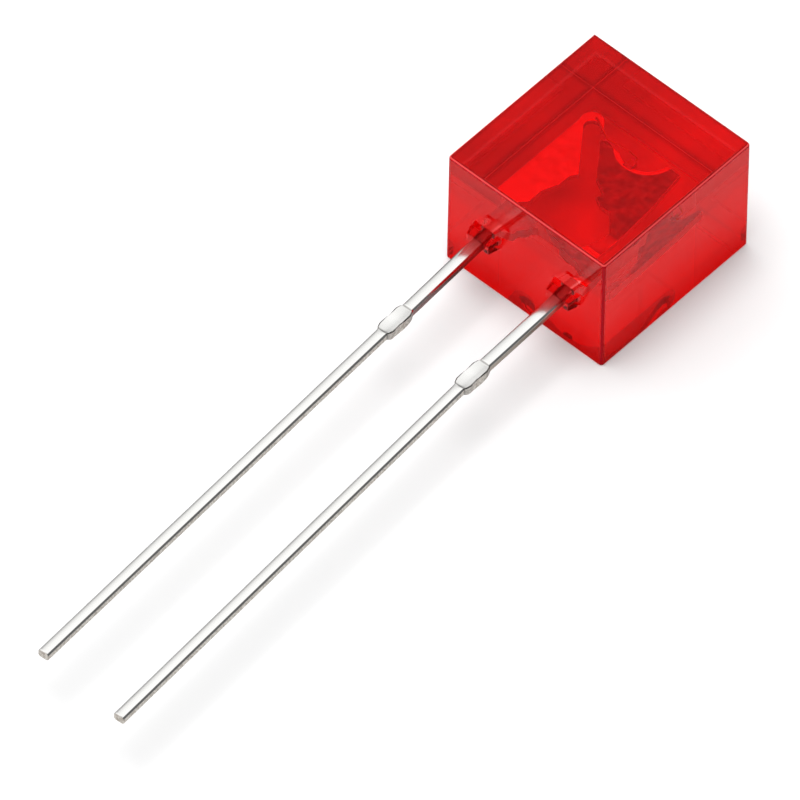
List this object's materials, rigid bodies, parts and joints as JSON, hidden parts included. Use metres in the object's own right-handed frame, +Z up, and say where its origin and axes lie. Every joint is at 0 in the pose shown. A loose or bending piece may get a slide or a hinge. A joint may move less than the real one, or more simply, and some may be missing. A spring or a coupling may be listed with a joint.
{
  "type": "square light-emitting diode",
  "caption": "Square red clear-bodied light-emitting diode with long straight through-hole leads, lying on its side.",
  "frame": {"origin": "centre of the resin body's underside, the side that it lies on", "axes": "+Z up from the side that it lies on; +Y along the device to the light-emitting end face; the leads run out towards -Y; +X across the two leads, from the anode to the cathode"},
  "size_m": [0.005, 0.022, 0.0037],
  "materials": {
    "clear_resin": "polished clear red epoxy",
    "tinned_lead": "bright tin-plated stamped steel",
    "chip": "sawn crystal with a smooth face",
    "silver_adhesive": "silver-filled cured resin",
    "gold_wire": "bright drawn gold"
  },
  "bodies": {
    "root": {"lens_body": "clear_resin", "anode_lead": "tinned_lead", "cathode_lead": "tinned_lead", "led_die": "chip", "die_attach": "silver_adhesive", "bond_wire": "gold_wire"}
  },
  "joints": []
}
